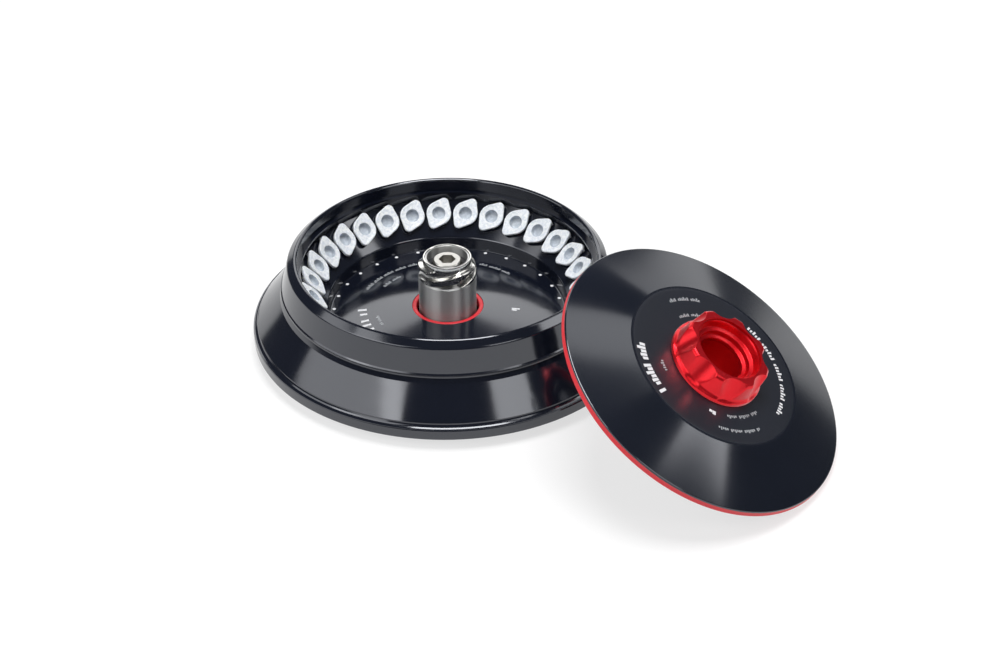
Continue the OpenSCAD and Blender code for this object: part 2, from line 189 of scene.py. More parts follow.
def joined(name, parts):
    """One object from several (verts, faces, matrix) lists, with points in millimetres."""
    verts = []
    faces = []
    for part_verts, part_faces, matrix in parts:
        base = len(verts)
        for v in part_verts:
            verts.append(tuple((matrix @ (Vector(v) * MM)) / MM) if matrix else tuple(v))
        faces.extend(tuple(base + i for i in face) for face in part_faces)
    return finish_mesh(name, verts, faces)


# ---------------------------------------------------------------- materials

def new_material(name):
    material = bpy.data.materials.new(name)
    material.use_nodes = True
    tree = material.node_tree
    shader = tree.nodes["Principled BSDF"]
    return material, tree, shader


def noise(tree, scale, detail, roughness=0.55, coords=None):
    """Noise over the given coordinates, or over the object's own."""
    source = coords
    if source is None:
        source = tree.nodes.new("ShaderNodeTexCoord").outputs["Object"]
    texture = tree.nodes.new("ShaderNodeTexNoise")
    texture.inputs["Scale"].default_value = scale
    texture.inputs["Detail"].default_value = detail
    texture.inputs["Roughness"].default_value = roughness
    tree.links.new(source, texture.inputs["Vector"])
    return texture.outputs["Fac"]


def remap(tree, value, low, high, from_low=0.3, from_high=0.7):
    """The value moved from one range to another. Most noise lies between 0.3 and 0.7."""
    node = tree.nodes.new("ShaderNodeMapRange")
    node.inputs["From Min"].default_value = from_low
    node.inputs["From Max"].default_value = from_high
    node.inputs["To Min"].default_value = low
    node.inputs["To Max"].default_value = high
    tree.links.new(value, node.inputs["Value"])
    return node.outputs["Result"]


def blend_colours(tree, factor, first, second):
    node = tree.nodes.new("ShaderNodeMix")
    node.data_type = "RGBA"
    node.inputs["A"].default_value = (*first, 1)
    node.inputs["B"].default_value = (*second, 1)
    tree.links.new(factor, node.inputs["Factor"])
    return node.outputs["Result"]


def bump(tree, shader, height, strength, distance):
    node = tree.nodes.new("ShaderNodeBump")
    node.inputs["Strength"].default_value = strength
    node.inputs["Distance"].default_value = distance
    tree.links.new(height, node.inputs["Height"])
    tree.links.new(node.outputs["Normal"], shader.inputs["Normal"])


def axis_coords(tree, matrix):
    """(radius, height) of the shaded point about the axis that matrix carries, as two values in metres."""
    inverse = matrix.inverted()
    position = tree.nodes.new("ShaderNodeTexCoord").outputs["Object"]
    parts = []
    for row in range(3):
        dot = tree.nodes.new("ShaderNodeVectorMath")
        dot.operation = "DOT_PRODUCT"
        dot.inputs[1].default_value = tuple(inverse[row][:3])
        tree.links.new(position, dot.inputs[0])
        add = tree.nodes.new("ShaderNodeMath")
        add.operation = "ADD"
        add.inputs[1].default_value = inverse[row][3]
        tree.links.new(dot.outputs["Value"], add.inputs[0])
        parts.append(add.outputs["Value"])
    combine = tree.nodes.new("ShaderNodeCombineXYZ")
    tree.links.new(parts[0], combine.inputs["X"])
    tree.links.new(parts[1], combine.inputs["Y"])
    length = tree.nodes.new("ShaderNodeVectorMath")
    length.operation = "LENGTH"
    tree.links.new(combine.outputs["Vector"], length.inputs[0])
    return length.outputs["Value"], parts[2]


def turned_coords(tree, matrix):
    """Coordinates that only change with radius and height, for marks left by a lathe tool."""
    radius, height = axis_coords(tree, matrix)
    combine = tree.nodes.new("ShaderNodeCombineXYZ")
    tree.links.new(radius, combine.inputs["X"])
    tree.links.new(height, combine.inputs["Y"])
    return combine.outputs["Vector"]


BLACK_SKIN_IOR = 1.78
CLOUD_LIFT = 1.7            # how much lighter the cloudy parts of the black skin are


def anodised(name, matrix, tint, rough_low, rough_high, line_scale=5200):
    """Black anodised aluminium: a glossy oxide skin over fine lathe lines, with faint cloudy wear."""
    material, tree, shader = new_material(name)
    clouds = noise(tree, scale=26, detail=4)
    lines = noise(tree, scale=line_scale, detail=2, coords=turned_coords(tree, matrix))
    colour = blend_colours(tree, clouds, tint, tuple(CLOUD_LIFT * c for c in tint))
    tree.links.new(colour, shader.inputs["Base Color"])
    tree.links.new(remap(tree, clouds, rough_low, rough_high), shader.inputs["Roughness"])
    shader.inputs["IOR"].default_value = BLACK_SKIN_IOR
    shader.inputs["Specular Tint"].default_value = (0.93, 0.95, 1.0, 1)
    bump(tree, shader, lines, strength=0.1, distance=0.00002)
    return material


LID_MIDDLE_R = 44.5 * MM
LID_BLEND = 1.0 * MM
LID_MIDDLE_ROUGHNESS = 0.34
LID_CONE_ROUGHNESS = 0.12


def lid_anodised(name, matrix, tint):
    """The lid's black skin: glossy on the cone, and blasted to a softer sheen on its flat middle."""
    material = anodised(name, matrix, tint, LID_CONE_ROUGHNESS, LID_CONE_ROUGHNESS, line_scale=2400)
    tree = material.node_tree
    radius, _ = axis_coords(tree, matrix)
    roughness = remap(tree, radius, LID_MIDDLE_ROUGHNESS, LID_CONE_ROUGHNESS,
                      LID_MIDDLE_R - LID_BLEND, LID_MIDDLE_R + LID_BLEND)
    tree.links.new(roughness, tree.nodes["Principled BSDF"].inputs["Roughness"])
    return material


def turned_steel(name, matrix, colour, rough_low, rough_high, line_depth=0.2):
    """Steel from the lathe, with fine rings about the axis that matrix carries."""
    material, tree, shader = new_material(name)
    clouds = noise(tree, scale=60, detail=4)
    lines = noise(tree, scale=4200, detail=2, coords=turned_coords(tree, matrix))
    tint = blend_colours(tree, clouds, tuple(0.92 * c for c in colour), colour)
    tree.links.new(tint, shader.inputs["Base Color"])
    shader.inputs["Metallic"].default_value = 1.0
    tree.links.new(remap(tree, lines, rough_low, rough_high), shader.inputs["Roughness"])
    bump(tree, shader, lines, strength=line_depth, distance=0.00003)
    return material


QUARTER_TURN = 0.25


def brushed_steel(name, colour):
    """Turned steel whose fine rings draw every light out into a stripe along the upright axis."""
    material = turned_steel(name, UPRIGHT, colour, rough_low=0.37, rough_high=0.41, line_depth=0.01)
    tree = material.node_tree
    shader = tree.nodes["Principled BSDF"]
    shader.inputs["Anisotropic"].default_value = 1.0
    shader.inputs["Anisotropic Rotation"].default_value = QUARTER_TURN
    tangent = tree.nodes.new("ShaderNodeTangent")
    tangent.direction_type = "RADIAL"
    tangent.axis = "Z"
    tree.links.new(tangent.outputs["Tangent"], shader.inputs["Tangent"])
    return material


RED_DEEP = (0.70, 0.008, 0.016)
RED_BRIGHT = (0.80, 0.014, 0.024)
SLEEVE_DARK = (0.03, 0.03, 0.035)
RED_METALNESS = 0.85
SLEEVE_BORE_R = 15.2 * MM   # up to here the sleeve shows its red bore
SLEEVE_BLEND = 0.3 * MM


def red_anodised_material():
    """Red anodised aluminium under a thin clear seal."""
    material, tree, shader = new_material("red_anodised_aluminium")
    grain = noise(tree, scale=900, detail=3)
    clouds = noise(tree, scale=40, detail=3)
    colour = blend_colours(tree, clouds, RED_DEEP, RED_BRIGHT)
    tree.links.new(colour, shader.inputs["Base Color"])
    shader.inputs["Metallic"].default_value = RED_METALNESS
    shader.inputs["Coat Weight"].default_value = 0.15
    shader.inputs["Coat Roughness"].default_value = 0.1
    tree.links.new(remap(tree, grain, 0.30, 0.40), shader.inputs["Roughness"])
    bump(tree, shader, grain, strength=0.12, distance=0.00004)
    return material


def sleeve_material(matrix):
    """Red anodising inside the sleeve's bore, and dark bare metal where the sleeve runs in its bush."""
    material, tree, shader = new_material("sleeve_two_tone")
    radius, _ = axis_coords(tree, matrix)
    outside = remap(tree, radius, 0, 1, SLEEVE_BORE_R, SLEEVE_BORE_R + SLEEVE_BLEND)
    colour = blend_colours(tree, outside, RED_DEEP, SLEEVE_DARK)
    tree.links.new(colour, shader.inputs["Base Color"])
    shader.inputs["Metallic"].default_value = RED_METALNESS
    lines = noise(tree, scale=3600, detail=2, coords=turned_coords(tree, matrix))
    tree.links.new(remap(tree, lines, 0.30, 0.42), shader.inputs["Roughness"])
    bump(tree, shader, lines, strength=0.1, distance=0.00002)
    return material


def red_rubber_material():
    """Silicone rubber of the seals, dull and a little translucent."""
    material, tree, shader = new_material("red_silicone_rubber")
    specks = noise(tree, scale=1400, detail=3)
    clouds = noise(tree, scale=55, detail=3)
    colour = blend_colours(tree, clouds, (0.62, 0.018, 0.030), (0.72, 0.028, 0.040))
    tree.links.new(colour, shader.inputs["Base Color"])
    tree.links.new(remap(tree, specks, 0.34, 0.5), shader.inputs["Roughness"])
    shader.inputs["Subsurface Weight"].default_value = 0.12
    shader.inputs["Subsurface Radius"].default_value = (0.002, 0.0006, 0.0005)
    bump(tree, shader, specks, strength=0.15, distance=0.00004)
    return material


def plastic_material(name, colour, shade, transmission, roughness, swing, speckle=700):
    """Natural polypropylene: milky, with the crystalline speckle of a moulded wall."""
    material, tree, shader = new_material(name)
    speckles = noise(tree, scale=speckle, detail=4, roughness=0.65)
    fine = noise(tree, scale=2400, detail=2)
    tint = blend_colours(tree, remap(tree, speckles, 0, 1, from_low=0.38, from_high=0.62), shade, colour)
    tree.links.new(tint, shader.inputs["Base Color"])
    tree.links.new(remap(tree, speckles, roughness - swing, roughness + swing), shader.inputs["Roughness"])
    shader.inputs["Transmission Weight"].default_value = transmission
    shader.inputs["IOR"].default_value = 1.49
    shader.inputs["Subsurface Weight"].default_value = 0.25
    shader.inputs["Subsurface Radius"].default_value = (0.003, 0.003, 0.0035)
    bump(tree, shader, fine, strength=0.08, distance=0.00003)
    return material


THIN_INK = 0.86             # brightness of the ink where its cover is thin


def ink_material(name, colour):
    """Printed ink, slightly uneven in its cover."""
    material, tree, shader = new_material(name)
    cover = noise(tree, scale=1800, detail=4)
    tint = blend_colours(tree, remap(tree, cover, 0, 1), tuple(THIN_INK * c for c in colour), colour)
    tree.links.new(tint, shader.inputs["Base Color"])
    shader.inputs["Roughness"].default_value = 0.6
    bump(tree, shader, cover, strength=0.1, distance=0.00002)
    return material


def bronze_material():
    """Sintered bronze of the bush, with open pores."""
    material, tree, shader = new_material("sintered_bronze")
    pores = noise(tree, scale=2600, detail=4)
    colour = blend_colours(tree, remap(tree, pores, 0, 1), (0.30, 0.19, 0.08), (0.52, 0.34, 0.15))
    tree.links.new(colour, shader.inputs["Base Color"])
    shader.inputs["Metallic"].default_value = 1.0
    shader.inputs["Roughness"].default_value = 0.42
    bump(tree, shader, pores, strength=0.25, distance=0.00004)
    return material


LID = lid_matrix()
UPRIGHT = Matrix.Identity(4)

BLACK_ROTOR = anodised("rotor_black_anodised", UPRIGHT, tint=(0.0040, 0.0052, 0.0100),
                       rough_low=0.09, rough_high=0.13)
BLACK_LID = lid_anodised("lid_black_anodised", LID, tint=(0.0045, 0.0060, 0.0110))
HUB_STEEL = brushed_steel("hub_turned_steel", (0.60, 0.60, 0.59))
THREAD_STEEL = turned_steel("thread_turned_steel", UPRIGHT, (0.74, 0.73, 0.70),
                            rough_low=0.14, rough_high=0.20, line_depth=0.1)
NUT_STEEL = turned_steel("nut_satin_steel", UPRIGHT, (0.56, 0.55, 0.52), rough_low=0.26, rough_high=0.36)
DARK_STEEL = turned_steel("phosphated_steel", UPRIGHT, (0.16, 0.16, 0.17), rough_low=0.34, rough_high=0.5)
RED_METAL = red_anodised_material()
SLEEVE_METAL = sleeve_material(LID)
RED_RUBBER = red_rubber_material()
TUBE_PLASTIC = plastic_material("tube_polypropylene", colour=(0.92, 0.95, 0.97), shade=(0.86, 0.90, 0.93),
                                transmission=0.5, roughness=0.24, swing=0.02, speckle=240)
CAP_PLASTIC = plastic_material("cap_polypropylene", colour=(0.95, 0.97, 0.98), shade=(0.70, 0.75, 0.81),
                               transmission=0.05, roughness=0.38, swing=0.06)
# the dimple's plastic is darker than the cap's: painted shade in the recessed dimple
PAINTED_DIMPLE_SHADE = plastic_material("dimple_painted_shade", colour=(0.62, 0.67, 0.73),
                                  shade=(0.46, 0.51, 0.57), transmission=0.1, roughness=0.36, swing=0.06)
WHITE_INK = ink_material("white_ink", (0.80, 0.81, 0.83))
GREY_INK = ink_material("grey_ink", (0.40, 0.42, 0.44))
BRONZE = bronze_material()


def give(obj, material):
    obj.data.materials.clear()
    obj.data.materials.append(material)


def add_piece(obj, material, body, slot, *nodes):
    """A piece of the visual model: its material, the body it rides on and the CAD nodes it stands for."""
    give(obj, material)
    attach(obj, body)
    if nodes:
        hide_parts(*nodes)
    return obj


# ---------------------------------------------------------------- tubes

# depths are measured from the top of the closed cap, in millimetres
FLANGE_TOP = 2.1
FLANGE_LOW = 2.7
HINGE_X = 8.3
HINGE_DEPTH = 1.9
HINGE_STEPS = 20
LUG_IN_X = 5.4
LUG_HALF_W = 2.0
LUG_INSET = 0.02            # keeps the lug's faces off the flange's
CAP_HALF_W = 6.6
LIP_R = 4.3                 # foot of the raised lip round the dimple
LIP_SHARE = 0.55            # how far its crest is moved from there to the cap's outline
LIP_DEPTH = 0.24
TAB_X = -6.6
TAB_R = 2.6
HINGE_END_X = 6.7
HINGE_END_R = 2.5
RING_POINTS = 72
SET_LETTERS = "abcd"
TINY = 1e-6

# (radius, depth) from the middle of the dimple's floor up to the lip round it
DIMPLE_LINE = [(0.3, 3.15), (1.6, 3.15), (2.6, 3.05), (3.05, 2.75), (3.25, 2.2), (3.4, 0.75), (3.55, 0.42),
               (3.85, 0.3), (4.25, 0.34)]
DIMPLE_STRIPS = 6           # strips of faces that line the dimple, from its floor up

# (inset from the cap's outline, depth) over its rounded edge
CAP_EDGE_LINE = [(0.75, 0.06), (0.35, 0.1), (0.1, 0.26), (0, 0.55), (0, 1.45), (0.12, 1.68), (0.4, 1.75)]

# (place across the lug, radius) of the hinge's roll, with rounded ends
HINGE_LINE = [(-2.0, 0.2), (-1.85, 0.42), (1.85, 0.42), (2.0, 0.2)]

# (radius, depth) of the plug that seals the tube
PLUG_LINE = [(4.1, 1.8), (4.1, 3.5), (4.0, 3.9), (3.7, 4.15), (3.3, 4.2), (0.3, 4.2)]


def support(circles, angle):
    """Distance to the outline round several circles on the x axis, in one direction from the centre."""
    best = 0
    direction = Vector((math.cos(angle), math.sin(angle)))
    for i, (x0, r0) in enumerate(circles):
        # the ray from the centre leaves this circle here, if it meets it
        half = x0 * direction.x
        inside = half * half - x0 * x0 + r0 * r0
        if inside >= 0:
            best = max(best, half + math.sqrt(inside))
        for x1, r1 in circles[i + 1:]:
            # and it may leave across a straight line that touches this circle and another
            gap = x1 - x0
            if abs(gap) <= abs(r0 - r1):
                continue
            lean = math.asin((r0 - r1) / abs(gap))
            side = 1 if gap > 0 else -1
            for way in (1, -1):
                normal = Vector((side * math.sin(lean), way * math.cos(lean)))
                tangent = Vector((normal.y, -normal.x))
                facing = normal.dot(direction)
                if facing <= TINY:
                    continue
                reach = (normal.x * x0 + r0) / facing
                along = (direction * reach - Vector((x0, 0))).dot(tangent)
                far = (Vector((gap, 0)) + normal * r1).dot(tangent)
                if min(0, far) - TINY <= along <= max(0, far) + TINY:
                    best = max(best, reach)
    return best


def cap_outline(inset=0.0):
    """Radius of the cap's lemon-shaped outline for each direction round its centre."""
    circles = [(0, CAP_HALF_W), (TAB_X, TAB_R), (HINGE_END_X, HINGE_END_R)]
    return [support(circles, TAU * k / RING_POINTS) - inset for k in range(RING_POINTS)]


def ring_of(radii, z):
    return [(r * math.cos(TAU * k / RING_POINTS), r * math.sin(TAU * k / RING_POINTS), z)
            for k, r in enumerate(radii)]


def circle_of(radius, z):
    return ring_of([radius] * RING_POINTS, z)


def mix_radii(first, second, share):
    return [a * (1 - share) + b * share for a, b in zip(first, second)]


def cap_parts(matrix):
    """A closed cap: dimple, raised lip, rounded plate edge and the plug that seals the tube."""
    lip = mix_radii([LIP_R] * RING_POINTS, cap_outline(), LIP_SHARE)
    rows = [circle_of(r, depth) for r, depth in DIMPLE_LINE]
    rows.append(ring_of(lip, LIP_DEPTH))
    rows += [ring_of(cap_outline(inset), depth) for inset, depth in CAP_EDGE_LINE]
    rows += [circle_of(r, depth) for r, depth in PLUG_LINE]
    verts, faces = loft(rows, cap_first=True, cap_last=True)
    return [(verts, faces, matrix)]


def paint_dimple_shade(caps, count):
    """Gives the faces that line the dimples of this many joined caps a darker plastic of their own:
    painted shade in the recess.
    """
    caps.data.materials.append(PAINTED_DIMPLE_SHADE)
    lining = DIMPLE_STRIPS * RING_POINTS
    per_cap = len(caps.data.polygons) // count
    dimple_floor = per_cap - 2
    for polygon in caps.data.polygons:
        place = polygon.index % per_cap
        if place < lining or place == dimple_floor:
            polygon.material_index = 1


def box_part(x0, x1, y0, y1, z0, z1):
    """(verts, faces) of a box."""
    verts = [(x, y, z) for x in (x0, x1) for y in (y0, y1) for z in (z0, z1)]
    faces = [(0, 1, 3, 2), (4, 6, 7, 5), (0, 4, 5, 1), (2, 3, 7, 6), (0, 2, 6, 4), (1, 5, 7, 3)]
    return verts, faces


def tube_outline():
    """Half section of a tube, (radius, depth), outside from the rim down and back up inside."""
    outside = [(5.85, FLANGE_TOP), (6.1, FLANGE_TOP + 0.15), (6.1, FLANGE_LOW - 0.15), (5.9, FLANGE_LOW),
               (5.42, FLANGE_LOW + 0.1), (5.42, 6.4), (5.3, 6.7), (5.3, 19.2), (5.15, 20.2),
               (1.85, 36.2), (1.72, 36.9), (1.45, 37.7), (0.95, 38.3), (0.3, 38.58)]
    inside = [(0.3, 37.4), (0.8, 37.1), (1.05, 36.4), (4.35, 19.8), (4.55, 18.8), (4.6, 3.0),
              (4.75, FLANGE_TOP + 0.1), (4.95, FLANGE_TOP)]
    return outside, inside


def tube_parts(matrix):
    """A tube: its hollow shell, the lug on its flange and the hinge."""
    outside, inside = tube_outline()
    rows = [circle_of(r, z) for r, z in outside + inside]
    count = len(outside)
    verts, faces = loft(rows, close_rows=True)
    # close the tip on both skins instead of joining them through the middle
    outer_tip = count - 1
    inner_tip = count
    faces = [f for f in faces
             if not (min(f) // RING_POINTS == outer_tip and max(f) // RING_POINTS == inner_tip)]
    faces.append(tuple(outer_tip * RING_POINTS + k for k in range(RING_POINTS)))
    faces.append(tuple(inner_tip * RING_POINTS + k for k in reversed(range(RING_POINTS))))
    lug = box_part(LUG_IN_X, HINGE_X + 0.2, -LUG_HALF_W, LUG_HALF_W,
                   FLANGE_TOP + LUG_INSET, FLANGE_LOW - LUG_INSET)
    return [(verts, faces, matrix), (*lug, matrix), (*hinge_part(), matrix)]


def hinge_part():
    """The folded web that joins cap and tube: a slim roll across the lug."""
    turns = [TAU * k / HINGE_STEPS for k in range(HINGE_STEPS)]
    rows = []
    for y, r in HINGE_LINE:
        rows.append([(HINGE_X + r * math.cos(a), y, HINGE_DEPTH + r * math.sin(a)) for a in turns])
    return loft(rows, cap_first=True, cap_last=True)


def is_free(index):
    return (index - FIRST_FREE) % FREE_STEP == 0


def add_free_tubes():
    """The tubes that lift out, each with its hinged cap."""
    for index in range(PLACES):
        if is_free(index):
            number = (index - FIRST_FREE) // FREE_STEP + 1
            tube = joined(f"tube_{number}_shell", tube_parts(place_matrix(index)))
            add_piece(tube, TUBE_PLASTIC, f"tube_{number}", "clear_plastic", f"tube_{number}")
            cap = joined(f"tube_{number}_lid", cap_parts(place_matrix(index)))
            add_piece(cap, CAP_PLASTIC, f"cap_{number}", "cap_plastic", f"tube_cap_{number}")
            paint_dimple_shade(cap, 1)


def add_fixed_tubes():
    """The other tubes, joined in one set for each quarter of the rotor."""
    for quarter, letter in enumerate(SET_LETTERS):
        first = math.ceil(quarter * PLACES / len(SET_LETTERS))
        last = math.ceil((quarter + 1) * PLACES / len(SET_LETTERS))
        tubes = []
        caps = []
        for index in range(first, last):
            if not is_free(index):
                tubes += tube_parts(place_matrix(index))
                caps += cap_parts(place_matrix(index))
        node = f"tubes_set_{letter}"
        shells = joined(f"tube_shells_{letter}", tubes)
        add_piece(shells, TUBE_PLASTIC, "rotor", "clear_plastic", node)
        lids = joined(f"tube_lids_{letter}", caps)
        add_piece(lids, CAP_PLASTIC, "rotor", "cap_plastic", node)
        paint_dimple_shade(lids, len(caps))


# ---------------------------------------------------------------- hub thread

THREAD_STARTS = 3
THREAD_LEAD = 22.0
THREAD_CORE_R = 12.3
THREAD_RIDGE_R = 14.75
THREAD_IN_R = 11.4
THREAD_PHASE = 85 / 360     # turn of the first ridge at the thread's foot
RIDGE_HALF = 0.2            # half the width of a ridge's land, as a share of the pitch
RIDGE_FLANK = 0.07          # width of its flank, as a share of the pitch
RIDGE_STOP = 2.9            # the ridges end this far under the top
RIDGE_FADE = 0.9            # and sink into the core over this height
THREAD_STEPS = 360
THREAD_LAYERS = 44

# (radius, depth under the top) of the rounded lip above the ridges
THREAD_LIP = [(THREAD_CORE_R, 0.35), (THREAD_CORE_R - 0.1, 0.1), (THREAD_CORE_R - 0.35, 0),
              (THREAD_IN_R + 0.2, 0), (THREAD_IN_R, 0.2)]


def smooth_step(x):
    """Eases from 0 to 1 as x goes from 0 to 1."""
    x = max(0.0, min(1.0, x))
    return x * x * (3 - 2 * x)


def thread_radius(angle, z, low, high):
    """Core radius plus the ridge, which fades out at its top end."""
    phase = (angle / TAU - THREAD_PHASE - (z - low) / THREAD_LEAD) * THREAD_STARTS
    off = abs(phase - round(phase))
    ridge = 1 - smooth_step((off - RIDGE_HALF) / RIDGE_FLANK)
    ends = smooth_step((high - z) / RIDGE_FADE)
    return THREAD_CORE_R + (THREAD_RIDGE_R - THREAD_CORE_R) * ridge * ends


def ring_at(radius, z, angles):
    return [(radius * math.cos(a), radius * math.sin(a), z) for a in angles]


def add_thread():
    """The hub's three-start thread, as a collar with steep ridges and a plain lip."""
    low_corner, high_corner = span("lid_thread")
    low, top = low_corner.z, high_corner.z
    ridge_top = top - RIDGE_STOP
    angles = [TAU * k / THREAD_STEPS for k in range(THREAD_STEPS)]
    rows = [ring_at(THREAD_IN_R, low, angles)]
    for i in range(THREAD_LAYERS + 1):
        z = low + (ridge_top - low) * i / THREAD_LAYERS
        row = []
        for a in angles:
            r = thread_radius(a, z, low, ridge_top)
            row.append((r * math.cos(a), r * math.sin(a), z))
        rows.append(row)
    rows += [ring_at(r, top - depth, angles) for r, depth in THREAD_LIP]
    verts, faces = loft(rows, close_rows=True)
    thread = finish_mesh("thread_collar", verts, faces, sharp_deg=30)
    add_piece(thread, THREAD_STEEL, "rotor", "polished_steel", "lid_thread")


# ---------------------------------------------------------------- knob

KNOB_SCOOPS = 8
KNOB_PHASE_DEG = 12
KNOB_FOOT_R = 24.0
KNOB_BORE_R = 17.55         # takes the sleeve's flange
KNOB_BORE_H = 3.4
KNOB_TOP_IN_R = 17.0
KNOB_STEPS = 480
KNOB_LONGEST_STEP = 0.45
SCOOP_R = 9.0
SCOOP_LEAN_DEG = 22
SCOOP_SOFT = 0.7            # rounding of the crest between two scoops
SCOOP_FOOT = 1.2            # height above the knob's foot at which the scoops start
SCOOP_RISE = 1.4            # height over which they reach their full depth
SCOOP_LEAST_R = 17.2        # no scoop cuts deeper than this radius
VALLEY_TOP_R = 18.0
FAR_R = 99.0                # stands for a wall that isn't reached


def soft_min(a, b, width):
    """The smaller of two values, with the change from one to the other rounded over a width."""
    share = max(0.0, min(1.0, 0.5 + 0.5 * (b - a) / width))
    return b * (1 - share) + a * share - width * share * (1 - share)


def scoop_radius(angle, depth):
    """Radius at which a finger scoop's wall stands, for a depth below the knob's top."""
    pitch = TAU / KNOB_SCOOPS
    phase = angle - math.radians(KNOB_PHASE_DEG) - pitch / 2
    off = abs(phase - pitch * round(phase / pitch))
    centre = VALLEY_TOP_R + SCOOP_R + depth * math.tan(math.radians(SCOOP_LEAN_DEG))
    inside = SCOOP_R ** 2 - (centre * math.sin(off)) ** 2
    if inside <= 0:
        return FAR_R
    return centre * math.cos(off) - math.sqrt(inside)


def densified(points, longest):
    """The open outline with points added so that no step is longer than given."""
    result = [points[0]]
    for a, b in zip(points, points[1:]):
        gap = (Vector(b) - Vector(a)).length
        count = max(1, math.ceil(gap / longest))
        for k in range(1, count + 1):
            result.append(tuple(Vector(a).lerp(Vector(b), k / count)))
    return result


def span_along_lid(node):
    """Lowest and highest place of a CAD node along the lid's axis, in millimetres."""
    inverse = LID.inverted()
    heights = [(inverse @ v.co).z / MM for v in frame["nodes"][node].data.vertices]
    return min(heights), max(heights)


def scooped_radius(radius, angle, height, depth):
    """The knob's outer radius where a finger scoop may cut it, for a height over its foot."""
    share = smooth_step((height - SCOOP_FOOT) / SCOOP_RISE)
    cut = soft_min(radius, max(scoop_radius(angle, depth), SCOOP_LEAST_R), SCOOP_SOFT)
    return radius * (1 - share) + min(radius, cut) * share


def add_knob():
    """The knob, with its finger scoops outside and its stepped funnel inside."""
    low, top = span_along_lid("knob")
    outside = rounded([(KNOB_BORE_R, low), (KNOB_FOOT_R, low), (KNOB_FOOT_R, low + 1.9), (22.6, low + 3.2),
                       (22.0, top - 1.2), (20.9, top), (KNOB_TOP_IN_R, top)],
                      radii=[0, 0.35, 0.7, 1.5, 1.4, 1.2, 0], steps=6)
    inside = rounded([(KNOB_TOP_IN_R, top), (15.9, top - 5.0), (14.0, top - 5.5), (13.6, top - 7.8),
                      (11.8, top - 8.3), (11.7, low + KNOB_BORE_H), (KNOB_BORE_R, low + KNOB_BORE_H)],
                     radii=[0.6, 0.5, 0.45, 0.5, 0.5, 0, 0], steps=4)
    angles = [TAU * k / KNOB_STEPS for k in range(KNOB_STEPS)]
    rows = []
    for r, z in densified(outside, KNOB_LONGEST_STEP):
        row = []
        for a in angles:
            reach = r
            if r > KNOB_BORE_R and z > low + SCOOP_FOOT:
                reach = scooped_radius(r, a, z - low, top - z)
            row.append((reach * math.cos(a), reach * math.sin(a), z))
        rows.append(row)
    rows += [ring_at(r, z, angles) for r, z in inside]
    verts, faces = loft(rows, close_rows=True)
    knob = finish_mesh("red_knob", verts, faces, LID, sharp_deg=32)
    add_piece(knob, RED_METAL, "knob", "red_anodised", "knob")


# ---------------------------------------------------------------- printed marks

INK_THICK = 0.05
STRIP_STEP_DEG = 1.5
BAR_HEIGHTS = (0.62, 1.0, 0.62, 0.8, 0.62, None, 0.9)   # as shares of the row's height, and a gap


def strip(radius, from_deg, to_deg, width, height, slope_deg):
    """A thin printed arc on a flat or conical face: (verts, faces) in millimetres."""
    steps = max(2, int(abs(to_deg - from_deg) / STRIP_STEP_DEG))
    slope = math.radians(slope_deg)
    rows = []
    for k in range(steps + 1):
        a = math.radians(from_deg + (to_deg - from_deg) * k / steps)
        ring = []
        for side, up in ((-0.5, 0), (0.5, 0), (0.5, INK_THICK), (-0.5, INK_THICK)):
            r = radius + side * width * math.cos(slope)
            z = height + side * width * math.sin(slope) + up
            ring.append((r * math.cos(a), r * math.sin(a), z))
        rows.append(ring)
    return loft(rows, cap_first=True, cap_last=True)


def tick_row(radius, from_deg, to_deg, tall, height, gap_share=0.38, tick=1.1, slope_deg=0.0):
    """A row of short upright bars of uneven height, with gaps, about one bar for each tick of length."""
    parts = []
    length = math.radians(abs(to_deg - from_deg)) * radius
    count = max(2, int(length / tick))
    step = (to_deg - from_deg) / count
    for k in range(count):
        share = BAR_HEIGHTS[k % len(BAR_HEIGHTS)]
        if share is None:
            continue
        start = from_deg + k * step
        bar = tall * share
        end = start + step * (1 - gap_share)
        verts, faces = strip(radius - (tall - bar) / 2, start, end, bar, height, slope_deg)
        parts.append((verts, faces, None))
    return parts


DOT_RING_R = 58.7
DOT_R = 0.9
DOT_STEPS = 24
MARK_CLEAR = 0.02           # keeps the ink off the face it is printed on
BOWL_EDGE_R = 60.0
BOWL_EDGE_H = 14.2
BOWL_HUB_R = 18.4
BOWL_HUB_H = 17.7
BOWL_FALL = (BOWL_HUB_H - BOWL_EDGE_H) / (BOWL_EDGE_R - BOWL_HUB_R)


def bowl_height(radius):
    """Height of the bowl's floor, a shallow cone, just clear of its surface."""
    return BOWL_EDGE_H + (BOWL_EDGE_R - radius) * BOWL_FALL + MARK_CLEAR


def bowl_row(radius, from_deg, to_deg, tall, **how):
    """A row of bars on the bowl's floor."""
    slope = -math.degrees(math.atan(BOWL_FALL))
    return tick_row(radius, from_deg, to_deg, tall, bowl_height(radius), slope_deg=slope, **how)


def dot_parts(index):
    """The dot in front of one tube's place."""
    a = math.radians(FIRST_PLACE_DEG + index * PITCH_DEG)
    centre = Vector((DOT_RING_R * math.cos(a), DOT_RING_R * math.sin(a), bowl_height(DOT_RING_R)))
    turns = [TAU * k / DOT_STEPS for k in range(DOT_STEPS)]
    rows = []
    for rise in (0.0, INK_THICK):
        rows.append([centre + Vector((DOT_R * math.cos(t), DOT_R * math.sin(t), rise)) for t in turns])
    verts, faces = loft(rows, cap_first=True, cap_last=True)
    return verts, faces, None


